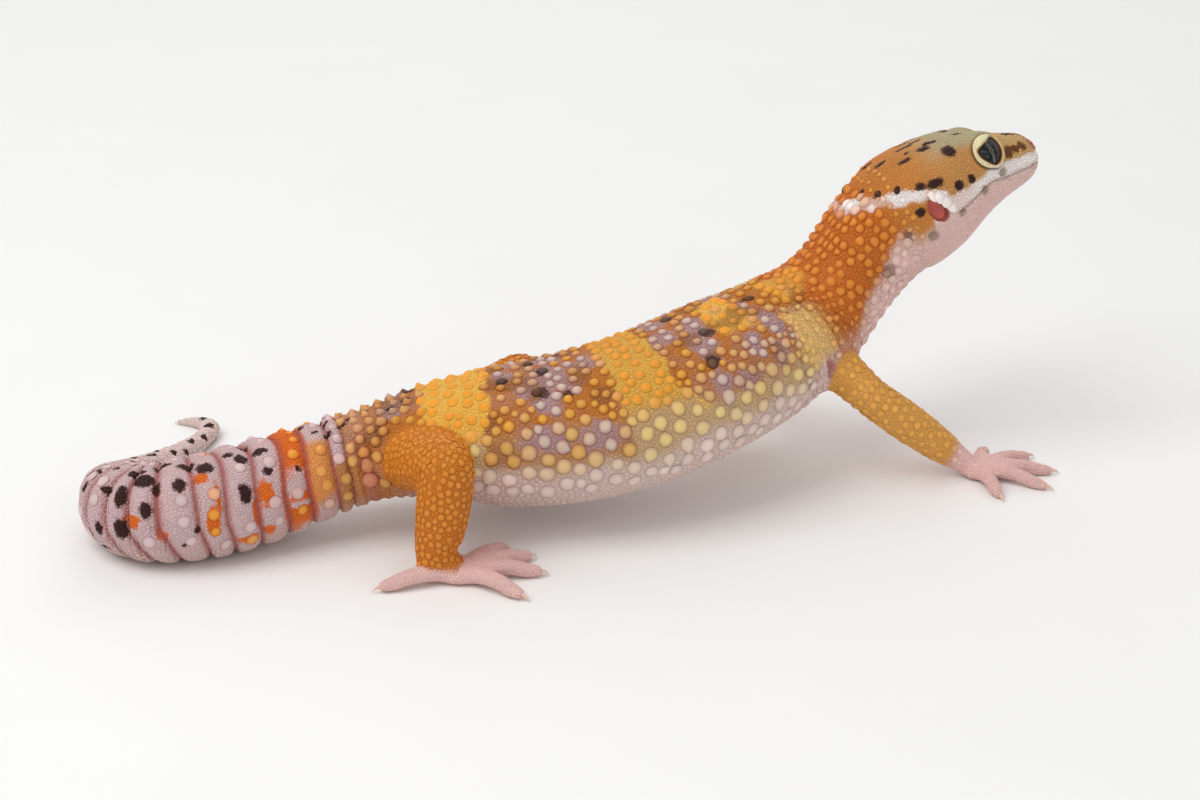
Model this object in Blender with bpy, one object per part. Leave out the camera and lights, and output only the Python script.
"""Leopard gecko, life size, standing with its head raised and its tail laid round on the ground.

Every length below is in millimetres in the animal's own stance: +X runs towards the head, +Z is up and
the ground is Z = 0. The body is one loft from tail tip to snout, parted by thin cuts into head, neck,
trunk and lengths of tail. Each leg is parted at its elbow or knee and at its wrist or ankle.
"""

import math

import bmesh
import bpy
import numpy as np
from mathutils import Matrix, Vector

MM = 0.001
GAP = 0.3
STANCE_CENTRE = (-2.987, 13.888)
SHARP_EDGE = math.radians(50)

# The head: where the tip of its snout is, and how it is turned.
SNOUT_TIP = Vector((70.3, 37.0, 46.6))
HEAD_YAW = math.radians(20.5)
HEAD_PITCH = math.radians(14.0)
HEAD_ROLL = math.radians(15.0)

# The eyes, ears and mouth, in the head's own frame: behind the snout tip, out from the middle and
# above the tip.
EYE_RADIUS = 3.3
EYE_BACK, EYE_OUT, EYE_ABOVE = 10.8, 4.3, 3.9
EYE_FORWARD_LOOK, EYE_UPWARD_LOOK = math.radians(14), math.radians(14)
ORBIT_RADIUS = 4.25
LID_OPENING_WIDTH, LID_OPENING_HEIGHT = 5.4, 4.5
LID_OPENING_INNER, LID_OPENING_OUTER, LID_OPENING_DEPTH = 0.45, 0.62, 5.0
EAR_BACK, EAR_OUT, EAR_ABOVE = 21.9, 9.4, -0.5
EAR_WIDTH, EAR_HEIGHT, EAR_DEPTH = 1.9, 4.0, 2.4
EAR_DRUM_THICKNESS = 0.6
EAR_SLANT = math.radians(28)
EAR_CUT_REACH = 6.0
MOUTH_FRONT_ABOVE = -0.7
MOUTH_MIDDLE_BACK, MOUTH_MIDDLE_ABOVE = 11.0, -0.95
MOUTH_CORNER_BACK, MOUTH_CORNER_ABOVE = 18.2, -2.0
MOUTH_LIP_RISE = 0.8
THROAT_BACK, THROAT_BELOW = 21.0, 22.0
MOUTH_CUT_AHEAD, MOUTH_CUT_HALF_SPAN = 6.0, 20.0

# How finely each length is divided along the body, and how many sides its sections have.
TAIL_SPACINGS = (1.7, 2.2, 2.7, 3.2)
TAIL_SIDES = (10, 16, 20, 20)
TRUNK_SPACING, NECK_SPACING, HEAD_SPACING = 3.9, 2.9, 1.65
CUT_OVERLAP = 1.5
BODY_EXPONENT, BODY_SMOOTHING = 2.25, 3.0
BODY_SIDES = 20
HEAD_SIDES = 24
LIMB_SIDES = 12
DIGIT_SIDES = 6

# Stations along the body: x, y, height of the centre, half width, and height above and depth below it.
TAIL_STATIONS = (
    (-71.0, 33.4, 0.30, 0.4, 0.4, 0.4),
    (-67.4, 32.4, 0.75, 1.0, 1.0, 1.0),
    (-64.5, 29.4, 1.20, 1.45, 1.45, 1.45),
    (-65.4, 24.4, 1.50, 1.75, 1.75, 1.75),
    (-68.6, 16.4, 2.15, 2.4, 2.4, 2.4),
    (-72.0, 8.4, 3.15, 3.4, 3.4, 3.4),
    (-74.2, 0.4, 4.55, 4.9, 4.8, 4.8),
    (-74.0, -7.0, 6.15, 6.5, 6.4, 6.4),
    (-69.0, -12.8, 7.25, 7.6, 7.4, 7.5),
    (-61.7, -12.4, 7.85, 8.2, 8.0, 8.1),
    (-54.0, -9.4, 8.35, 8.2, 8.0, 8.1),
    (-45.6, -5.8, 9.8, 7.7, 7.5, 7.6),
    (-39.4, -3.8, 11.3, 7.3, 7.2, 7.3),
)
VENT = (-34.7, -2.8, 12.2, 7.6, 7.2, 7.2)
TRUNK_STATIONS = (
    (-27.8, -1.5, 13.5, 9.6, 8.3, 8.4),
    (-18.5, -1.0, 14.3, 12.2, 9.8, 10.2),
    (-6.2, 1.0, 14.6, 14.2, 10.8, 11.0),
    (6.2, 4.2, 16.6, 14.6, 11.0, 11.2),
    (16.6, 9.4, 19.2, 14.0, 10.9, 11.0),
    (26.6, 16.6, 21.8, 12.0, 10.2, 10.6),
)
SHOULDERS = (33.4, 21.8, 25.4, 10.0, 8.6, 10.6)
NECK_STATIONS = (
    (38.0, 24.6, 30.8, 8.7, 6.3, 10.3),
    (41.8, 26.4, 36.0, 8.4, 7.1, 11.1),
)
# Stations along the head: behind the snout tip, above it, half width, height above and depth below.
HEAD_STATIONS = (
    (26.6, 0.2, 8.9, 7.7, 11.6),
    (22.4, 0.9, 10.0, 8.2, 11.5),
    (18.0, 1.2, 9.8, 8.1, 10.6),
    (14.0, 1.2, 8.6, 7.9, 9.0),
    (10.2, 0.8, 7.1, 6.6, 6.8),
    (6.2, 0.3, 5.6, 5.5, 4.8),
    (2.8, 0.0, 4.4, 4.8, 3.6),
    (0.9, 0.0, 3.3, 3.8, 2.6),
    (0.0, 0.0, 1.9, 2.3, 1.4),
)


UPWARD = Vector((0, 0, 1))
DOWN = -UPWARD
GROUND = Vector((0, 0, 0))
ROLL = 6

# The colour and roughness of each kind of surface.
FINISHES = {
    "head": ((0.45, 0.28, 0.08), 0.55),
    "jaw": ((0.80, 0.62, 0.55), 0.5),
    "neck": ((0.78, 0.38, 0.06), 0.55),
    "trunk": ((0.78, 0.46, 0.16), 0.55),
    "tail": ((0.62, 0.45, 0.47), 0.55),
    "leg": ((0.80, 0.40, 0.14), 0.55),
    "paw": ((0.85, 0.60, 0.54), 0.5),
    "eye": ((0.03, 0.03, 0.03), 0.08),
    "ear": ((0.50, 0.12, 0.10), 0.4),
    "claw": ((0.80, 0.68, 0.60), 0.35),
}


def turned(yaw, pitch, roll):
    """Forward, right and up after a turn from +X by yaw, a rise by pitch and a tilt by roll."""
    forward = Vector((math.cos(pitch) * math.cos(yaw), math.cos(pitch) * math.sin(yaw), math.sin(pitch)))
    level = forward.cross(UPWARD).normalized()
    rise = level.cross(forward)
    right = level * math.cos(roll) + rise * math.sin(roll)
    return forward, right, right.cross(forward)


HEAD_FORWARD, HEAD_RIGHT, HEAD_UP = turned(HEAD_YAW, HEAD_PITCH, HEAD_ROLL)


def head_point(back, out, above):
    """A point given in the head's own frame."""
    return SNOUT_TIP - HEAD_FORWARD * back + HEAD_RIGHT * out + HEAD_UP * above


class Course:
    """A smooth line through stations, with the size of the section at every place along it."""

    def __init__(self, stations, exponent=2.0, smoothing=0.3):
        self.rows = np.array(stations, float)
        self.smoothing = smoothing
        steps = np.linalg.norm(np.diff(self.rows[:, :3], axis=0), axis=1)
        self.knots = np.concatenate([[0.0], np.cumsum(steps)])
        self.length = self.knots[-1]
        self.exponent = exponent
        self.slopes = np.gradient(self.rows, self.knots, axis=0)

    def row(self, place):
        """The station values at a place, by cubic Hermite steps between the stations."""
        last = len(self.knots) - 2
        i = min(max(int(np.searchsorted(self.knots, place)) - 1, 0), last)
        span = self.knots[i + 1] - self.knots[i]
        t = (place - self.knots[i]) / span
        near = (1 + 2 * t) * (1 - t) ** 2 * self.rows[i] + t * t * (3 - 2 * t) * self.rows[i + 1]
        bend = t * (1 - t) ** 2 * self.slopes[i] - t * t * (1 - t) * self.slopes[i + 1]
        return near + span * bend

    def axes(self, place):
        """The line's forward, right and upward directions at a place."""
        ahead = self.row(min(place + self.smoothing, self.length))[:3]
        behind = self.row(max(place - self.smoothing, 0.0))[:3]
        forward = Vector(ahead - behind).normalized()
        level = forward.cross(UPWARD).normalized()
        rise = level.cross(forward)
        roll = self.row(place)[ROLL] if self.rows.shape[1] > ROLL else 0.0
        right = level * math.cos(roll) + rise * math.sin(roll)
        return forward, right, right.cross(forward)

    def ring(self, place, sides, grow=0.0):
        """The points of the section at a place: a rounded box whose corners follow the exponent."""
        row = self.row(place)
        centre = Vector(row[:3])
        width, above, below = row[3:ROLL] + grow
        _, right, up = self.axes(place)
        points = []
        for k in range(sides):
            angle = 2 * math.pi * k / sides
            across = math.copysign(abs(math.cos(angle)) ** (2 / self.exponent), math.cos(angle))
            rise = math.copysign(abs(math.sin(angle)) ** (2 / self.exponent), math.sin(angle))
            height = above if rise > 0 else below
            points.append(centre + right * across * width + up * rise * height)
        return points


def place_on_ground(mesh):
    """Turns stance millimetres into metres about the middle of the stance."""
    shift = Matrix.Translation((-STANCE_CENTRE[0], -STANCE_CENTRE[1], 0.0))
    mesh.transform(Matrix.Scale(MM, 4) @ shift)


def lofted(rings):
    """A closed bmesh through rings of points, each end closed by one flat face."""
    bm = bmesh.new()
    loops = [[bm.verts.new(point) for point in ring] for ring in rings]
    sides = len(loops[0])
    for a, b in zip(loops, loops[1:]):
        for k in range(sides):
            bm.faces.new((a[k], a[(k + 1) % sides], b[(k + 1) % sides], b[k]))
    bm.faces.new(loops[0][::-1])
    bm.faces.new(loops[-1])
    bmesh.ops.recalc_face_normals(bm, faces=bm.faces)
    return bm


def cut_plane(bm, point, normal):
    """Removes what lies beyond a plane and closes the cut with a flat face."""
    geometry = bm.verts[:] + bm.edges[:] + bm.faces[:]
    cut = bmesh.ops.bisect_plane(bm, geom=geometry, plane_co=point, plane_no=normal, clear_outer=True)
    rim = [e for e in cut["geom_cut"] if isinstance(e, bmesh.types.BMEdge) and e.is_boundary]
    bmesh.ops.holes_fill(bm, edges=rim, sides=0)
    bmesh.ops.recalc_face_normals(bm, faces=bm.faces)


def material(name, finish):
    """A material of the part's own, in the colour and roughness of its finish."""
    colour, roughness = FINISHES[finish]
    made = bpy.data.materials.new(name)
    made.use_nodes = True
    shader = made.node_tree.nodes["Principled BSDF"]
    shader.inputs["Base Color"].default_value = (*colour, 1.0)
    shader.inputs["Roughness"].default_value = roughness
    shader.inputs["Metallic"].default_value = 0.0
    return made


def clear_scene():
    for obj in list(bpy.data.objects):
        bpy.data.objects.remove(obj, do_unlink=True)


def collection(name):
    made = bpy.data.collections.new(name)
    bpy.context.scene.collection.children.link(made)
    return made


class Builder:
    """Holds the collections, and turns bmeshes into named parts and cutters."""

    def __init__(self):
        self.parts = collection("leopard_gecko")
        self.cutters = collection("cutters")

    def solid(self, name, bm, finish):
        mesh = bpy.data.meshes.new(name)
        bm.to_mesh(mesh)
        bm.free()
        place_on_ground(mesh)
        mesh.materials.append(material(f"{name} surface", finish))
        mesh.shade_smooth()
        mesh.set_sharp_from_angle(angle=SHARP_EDGE)
        obj = bpy.data.objects.new(name, mesh)
        self.parts.objects.link(obj)
        return obj

    def cutter(self, name, bm):
        mesh = bpy.data.meshes.new(name)
        bm.to_mesh(mesh)
        bm.free()
        place_on_ground(mesh)
        obj = bpy.data.objects.new(name, mesh)
        obj.hide_render = True
        obj.display_type = "WIRE"
        self.cutters.objects.link(obj)
        return obj


def boolean(obj, other, operation):
    step = obj.modifiers.new(f"{operation.lower()} {other.name}", "BOOLEAN")
    step.operation = operation
    step.object = other
    step.solver = "EXACT"


def spine():
    """The animal from tail tip to snout as one course, the neck twisting into the tilt of the head."""
    stations = [(*station, 0.0) for station in (*TAIL_STATIONS, VENT, *TRUNK_STATIONS, SHOULDERS)]
    for number, station in enumerate(NECK_STATIONS, 1):
        stations.append((*station, HEAD_ROLL * number / (len(NECK_STATIONS) + 1)))
    for back, above, width, top, depth in HEAD_STATIONS:
        stations.append((*head_point(back, 0.0, above), width, top, depth, HEAD_ROLL))
    return Course(stations, BODY_EXPONENT, BODY_SMOOTHING)


SPINE = spine()
VENT_PLACE = SPINE.knots[len(TAIL_STATIONS)]
SHOULDER_PLACE = SPINE.knots[len(TAIL_STATIONS) + 1 + len(TRUNK_STATIONS)]
OCCIPUT_PLACE = SPINE.knots[len(TAIL_STATIONS) + 2 + len(TRUNK_STATIONS) + len(NECK_STATIONS)]
TAIL_CUTS = (SPINE.knots[4], SPINE.knots[7], SPINE.knots[10])


def body_loft(start, end, spacing, sides=BODY_SIDES, grow=0.0):
    """A length of the body between two places along the spine."""
    places = np.linspace(start, end, max(2, round((end - start) / spacing) + 1))
    return lofted([SPINE.ring(place, sides, grow) for place in places])


def part_at(bm, place, keep_ahead):
    """Cuts a length of the body square across the spine, half a gap short of a place."""
    forward = SPINE.axes(place)[0]
    outward = -forward if keep_ahead else forward
    cut_plane(bm, Vector(SPINE.row(place)[:3]) - outward * GAP / 2, outward)


def body_piece(start, end, spacing, sides=BODY_SIDES):
    """A length of the body that stops half a gap short of each of its cuts."""
    first, last = max(start - CUT_OVERLAP, 0.0), min(end + CUT_OVERLAP, SPINE.length)
    bm = body_loft(first, last, spacing, sides)
    if start > 0:
        part_at(bm, start, True)
    if end < SPINE.length:
        part_at(bm, end, False)
    return bm


def make_tail(build):
    joints = (0.0, *TAIL_CUTS, VENT_PLACE)
    names = ("tail_tip", "tail_rear", "tail_middle", "tail_base")
    for name, start, end, spacing, count in zip(names, joints, joints[1:], TAIL_SPACINGS, TAIL_SIDES):
        bm = body_piece(start, end, spacing, count)
        cut_plane(bm, GROUND, DOWN)
        build.solid(name, bm, "tail")


def make_trunk_and_neck(build):
    build.solid("trunk", body_piece(VENT_PLACE, SHOULDER_PLACE, TRUNK_SPACING), "trunk")
    build.solid("neck", body_piece(SHOULDER_PLACE, OCCIPUT_PLACE, NECK_SPACING), "neck")


def head_loft():
    return body_piece(OCCIPUT_PLACE, SPINE.length, HEAD_SPACING, HEAD_SIDES)


def mouth_prism(inset):
    """What lies under the line of the mouth, moved in or out by an inset."""
    outline = (
        (-MOUTH_CUT_AHEAD, MOUTH_FRONT_ABOVE + MOUTH_LIP_RISE - inset),
        (0.0, MOUTH_FRONT_ABOVE - inset),
        (MOUTH_MIDDLE_BACK, MOUTH_MIDDLE_ABOVE - inset),
        (MOUTH_CORNER_BACK - inset, MOUTH_CORNER_ABOVE - inset),
        (THROAT_BACK - inset, -THROAT_BELOW),
        (-MOUTH_CUT_AHEAD, -THROAT_BELOW),
    )
    ends = []
    for out in (-MOUTH_CUT_HALF_SPAN, MOUTH_CUT_HALF_SPAN):
        ends.append([head_point(back, out, above) for back, above in outline])
    return lofted(ends)


def sphere_at(centre, radius, segments, rings):
    bm = bmesh.new()
    bmesh.ops.create_uvsphere(bm, u_segments=segments, v_segments=rings, radius=radius)
    bm.transform(Matrix.Translation(centre))
    return bm


def make_head(build):
    head = build.solid("head", head_loft(), "head")
    jaw = build.solid("lower_jaw", head_loft(), "jaw")
    boolean(head, build.cutter("above_jaw_cut", mouth_prism(-GAP / 2)), "DIFFERENCE")
    boolean(jaw, build.cutter("jaw_keep", mouth_prism(GAP / 2)), "INTERSECT")
    for side, name in ((1, "right"), (-1, "left")):
        make_eye(build, head, side, name)
        make_ear(build, head, side, name)


def eye_axes(side):
    """The way an eye looks, and the directions along and across its lids."""
    level = math.cos(EYE_UPWARD_LOOK)
    look = HEAD_RIGHT * side * level * math.cos(EYE_FORWARD_LOOK)
    look += HEAD_FORWARD * level * math.sin(EYE_FORWARD_LOOK) + HEAD_UP * math.sin(EYE_UPWARD_LOOK)
    along = HEAD_UP.cross(look).normalized()
    return look, along, look.cross(along)


def make_eye(build, head, side, name):
    """An eyeball in a socket, under a mound of lids that is open in an oval."""
    centre = head_point(EYE_BACK, side * EYE_OUT, EYE_ABOVE)
    look, along, across = eye_axes(side)
    orbit = sphere_at(centre, ORBIT_RADIUS, 16, 10)
    boolean(head, build.cutter(f"orbit_{name}", orbit), "UNION")
    socket = sphere_at(centre, EYE_RADIUS + GAP, 16, 10)
    boolean(head, build.cutter(f"socket_{name}", socket), "DIFFERENCE")
    opening = bmesh.new()
    inner, outer = LID_OPENING_INNER, LID_OPENING_OUTER
    bmesh.ops.create_cone(
        opening, cap_ends=True, segments=14, radius1=inner, radius2=outer, depth=LID_OPENING_DEPTH
    )
    opening.transform(Matrix.Diagonal((LID_OPENING_WIDTH, LID_OPENING_HEIGHT, 1.0, 1.0)))
    turn = Matrix((along, across, look)).transposed().to_4x4()
    opening.transform(Matrix.Translation(centre + look * (ORBIT_RADIUS + 2 * GAP)) @ turn)
    boolean(head, build.cutter(f"lid_opening_{name}", opening), "DIFFERENCE")
    build.solid(f"eye_{name}", sphere_at(centre, EYE_RADIUS, 14, 9), "eye")


def ear_rod(side, clearance, inner, outer, segments):
    """A slanting oval rod that runs into the head at the ear, between two depths from the ear's mouth."""
    width, height = EAR_WIDTH / 2 - clearance, EAR_HEIGHT / 2 - clearance
    bm = bmesh.new()
    bmesh.ops.create_cone(bm, cap_ends=True, segments=segments, radius1=1.0, radius2=1.0, depth=1.0)
    bm.transform(Matrix.Diagonal((width, height, outer - inner, 1.0)))
    bm.transform(Matrix.Translation((0, 0, (outer + inner) / 2)))
    out = HEAD_RIGHT * side
    tall = HEAD_UP * math.cos(EAR_SLANT) - HEAD_FORWARD * math.sin(EAR_SLANT)
    turn = Matrix((tall.cross(out), tall, out)).transposed().to_4x4()
    bm.transform(Matrix.Translation(head_point(EAR_BACK, side * EAR_OUT, EAR_ABOVE)) @ turn)
    return bm


def make_ear(build, head, side, name):
    pit = build.cutter(f"ear_pit_{name}", ear_rod(side, 0.0, -EAR_DEPTH, EAR_CUT_REACH, 12))
    boolean(head, pit, "DIFFERENCE")
    drum_floor = -EAR_DEPTH + GAP
    drum = ear_rod(side, GAP, drum_floor, drum_floor + EAR_DRUM_THICKNESS, 10)
    build.solid(f"ear_{name}", drum, "ear")


# Each leg: its joints, the half thickness at each of them, and where its digits' tips rest.
LEGS = {
    "fore_right": {
        "names": ("upper_arm_right", "forearm_right", "hand_right", "claw_hand_right"),
        "root": (33.0, 17.6, 22.6), "bend": (42.8, 11.6, 15.2), "end": (56.2, 14.8, 3.9),
        "thick": (3.9, 3.3, 2.8), "pad": (60.6, 14.0), "pad_half": (3.2, 2.7, 1.4), "digit_scale": 1.05,
        "tips": ((63.4, 5.5), (71.2, 8.7), (72.8, 14.4), (69.8, 19.9), (63.0, 21.8)),
    },
    "fore_left": {
        "names": ("upper_arm_left", "forearm_left", "hand_left", "claw_hand_left"),
        "root": (28.6, 26.6, 22.4), "bend": (19.6, 36.0, 15.0), "end": (22.0, 42.4, 3.9),
        "thick": (4.3, 3.4, 2.8), "pad": (23.4, 45.2), "pad_half": (3.2, 2.7, 1.4), "digit_scale": 1.05,
        "tips": ((16.0, 50.0), (23.0, 54.5), (29.0, 54.0), (33.0, 49.6), (31.6, 42.4)),
    },
    "hind_right": {
        "names": ("thigh_right", "shin_right", "foot_right", "claw_foot_right"),
        "root": (-30.0, -5.0, 12.9), "bend": (-22.5, -17.0, 17.0), "end": (-24.5, -20.2, 3.8),
        "thick": (5.4, 4.3, 3.5), "pad": (-21.0, -21.0), "pad_half": (4.0, 3.0, 1.5), "digit_scale": 1.25,
        "tips": ((-32.7, -25.0), (-11.5, -27.4), (-8.9, -20.0), (-10.6, -14.9), (-14.5, -12.3)),
    },
    "hind_left": {
        "names": ("thigh_left", "shin_left", "foot_left", "claw_foot_left"),
        "root": (-27.0, 4.0, 12.4), "bend": (-12.8, 16.6, 16.4), "end": (-17.6, 24.2, 3.8),
        "thick": (5.0, 4.1, 3.4), "pad": (-15.0, 26.4), "pad_half": (4.0, 3.0, 1.5), "digit_scale": 1.25,
        "tips": ((-26.6, 29.6), (-7.0, 36.6), (-2.6, 31.6), (-2.6, 25.6), (-6.6, 20.6)),
    },
}
UPPER_SWELL, LOWER_SWELL = 1.06, 1.13
PAW_GROUND_SINK = 0.25
PAW_END_SCALE = 1.1
DIGIT_ROOT, DIGIT_MIDDLE, DIGIT_TIP, DIGIT_END = 1.3, 1.05, 0.95, 0.58
DIGIT_ROOT_RISE, DIGIT_ARCH, DIGIT_TIP_SINK = 0.15, 0.6, 0.12
DIGIT_START = 0.6
CLAW_LENGTH, CLAW_SIDES = 1.3, 5
CLAW_ROOT, CLAW_MIDDLE, CLAW_POINT = 0.36, 0.27, 0.1
CLAW_ARCH, CLAW_POINT_HEIGHT = 0.12, 0.18
CLEARANCE_BEHIND, CLEARANCE_AHEAD, CLEARANCE_SPACING = 6.0, 8.0, 3.2
LIMB_SIDE_REFERENCE = Vector((0.31, 0.17, 0.93))


def rounded_limb(a, b, thick_a, thick_b, swell=1.0, sides=LIMB_SIDES, lifts=(26, 52, 78), steps=5):
    """A tapering limb between two joints, with a half ball at each end."""
    a, b = Vector(a), Vector(b)
    axis = (b - a).normalized()
    side = axis.cross(LIMB_SIDE_REFERENCE).normalized()
    rise = side.cross(axis)
    rings = []

    def ring(centre, radius):
        turns = [2 * math.pi * k / sides for k in range(sides)]
        rings.append([centre + (side * math.cos(t) + rise * math.sin(t)) * radius for t in turns])

    for lift in reversed(lifts):
        angle = math.radians(lift)
        ring(a - axis * thick_a * math.sin(angle), thick_a * math.cos(angle))
    for part in np.linspace(0, 1, steps):
        fuller = 1 + (swell - 1) * math.sin(math.pi * part)
        ring(a.lerp(b, part), (thick_a + (thick_b - thick_a) * part) * fuller)
    for lift in lifts:
        angle = math.radians(lift)
        ring(b + axis * thick_b * math.sin(angle), thick_b * math.cos(angle))
    return lofted(rings)


def make_digit(build, name, root, tip, size):
    """A toe or finger from inside the pad to its tip, arched clear of the ground in the middle."""
    middle, near = root.lerp(tip, 0.55), root.lerp(tip, 0.85)
    middle.z = DIGIT_MIDDLE * size + DIGIT_ARCH
    near.z = DIGIT_TIP * size - DIGIT_TIP_SINK
    places = (root, middle, near, tip)
    radii = (DIGIT_ROOT, DIGIT_MIDDLE, DIGIT_TIP, DIGIT_END)
    course = Course([(*place, *[radius * size] * 3) for place, radius in zip(places, radii)])
    rings = [course.ring(place, DIGIT_SIDES) for place in np.linspace(0, course.length, 6)]
    bm = lofted(rings)
    cut_plane(bm, GROUND, DOWN)
    return build.cutter(name, bm)


def make_claw(build, name, root, tip):
    """A small hooked claw just past the digit's tip."""
    ahead = (tip - root)
    ahead.z = 0
    ahead.normalize()
    start = tip + ahead * GAP
    middle, end = start + ahead * CLAW_LENGTH / 2, start + ahead * CLAW_LENGTH
    middle.z = (start.z + CLAW_POINT_HEIGHT) / 2 + CLAW_ARCH
    end.z = CLAW_POINT_HEIGHT
    radii = (CLAW_ROOT, CLAW_MIDDLE, CLAW_POINT)
    course = Course([(*place, *[radius] * 3) for place, radius in zip((start, middle, end), radii)])
    rings = [course.ring(place, CLAW_SIDES) for place in np.linspace(0, course.length, 4)]
    build.solid(name, lofted(rings), "claw")


def make_leg(build, leg, body_clearance):
    """A leg of three lengths, parted on the planes that halve its bends, with its digits and claws."""
    root, bend, end = Vector(leg["root"]), Vector(leg["bend"]), Vector(leg["end"])
    root_thick, bend_thick, end_thick = leg["thick"]
    upper_name, lower_name, paw_name, claw_name = leg["names"]
    length, width, height = leg["pad_half"]
    pad = Vector((*leg["pad"], height - PAW_GROUND_SINK))

    upper_axis, lower_axis = (bend - root).normalized(), (end - bend).normalized()
    elbow = (upper_axis + lower_axis).normalized()
    wrist = (lower_axis + (pad - end).normalized()).normalized()

    bm = rounded_limb(root, bend, root_thick, bend_thick, UPPER_SWELL)
    cut_plane(bm, bend - elbow * GAP / 2, elbow)
    upper = build.solid(upper_name, bm, "leg")
    boolean(upper, body_clearance, "DIFFERENCE")

    bm = rounded_limb(bend, end, bend_thick, end_thick, LOWER_SWELL)
    cut_plane(bm, bend + elbow * GAP / 2, -elbow)
    cut_plane(bm, end - wrist * GAP / 2, wrist)
    build.solid(lower_name, bm, "leg")

    bm = rounded_limb(end, pad, end_thick, height * PAW_END_SCALE, sides=10, lifts=(40, 75), steps=3)
    cut_plane(bm, end + wrist * GAP / 2, -wrist)
    cut_plane(bm, GROUND, DOWN)
    paw = build.solid(paw_name, bm, "paw")
    boolean(paw, make_pad(build, paw_name, leg, pad), "UNION")
    size = leg["digit_scale"]
    for number, place in enumerate(leg["tips"], 1):
        tip = Vector((*place, DIGIT_TIP * size - DIGIT_TIP_SINK - GAP / 2))
        toward = tip - pad
        toward.z = 0
        start = pad + toward.normalized() * width * DIGIT_START
        start.z = DIGIT_ROOT * size + DIGIT_ROOT_RISE
        boolean(paw, make_digit(build, f"{paw_name}_digit_{number}", start, tip, size), "UNION")
        make_claw(build, f"{claw_name}_{number}", start, tip)


def make_pad(build, name, leg, centre):
    """The flat palm or sole: a squashed ball that stands on the ground."""
    tips = [Vector((*tip, 0)) for tip in leg["tips"]]
    ahead = sum(tips[1:4], Vector((0, 0, 0))) / 3 - Vector((*leg["pad"], 0))
    bm = sphere_at(GROUND, 1.0, 10, 6)
    bm.transform(Matrix.Diagonal((*leg["pad_half"], 1.0)))
    bm.transform(Matrix.Rotation(math.atan2(ahead.y, ahead.x), 4, "Z"))
    bm.transform(Matrix.Translation(centre))
    cut_plane(bm, GROUND, DOWN)
    return build.cutter(f"{name}_pad", bm)


def make_legs(build):
    start, end = VENT_PLACE - CLEARANCE_BEHIND, SHOULDER_PLACE + CLEARANCE_AHEAD
    clearance = build.cutter("body_clearance", body_loft(start, end, CLEARANCE_SPACING, grow=GAP))
    for leg in LEGS.values():
        make_leg(build, leg, clearance)


def main():
    clear_scene()
    build = Builder()
    make_tail(build)
    make_trunk_and_neck(build)
    make_head(build)
    make_legs(build)


main()
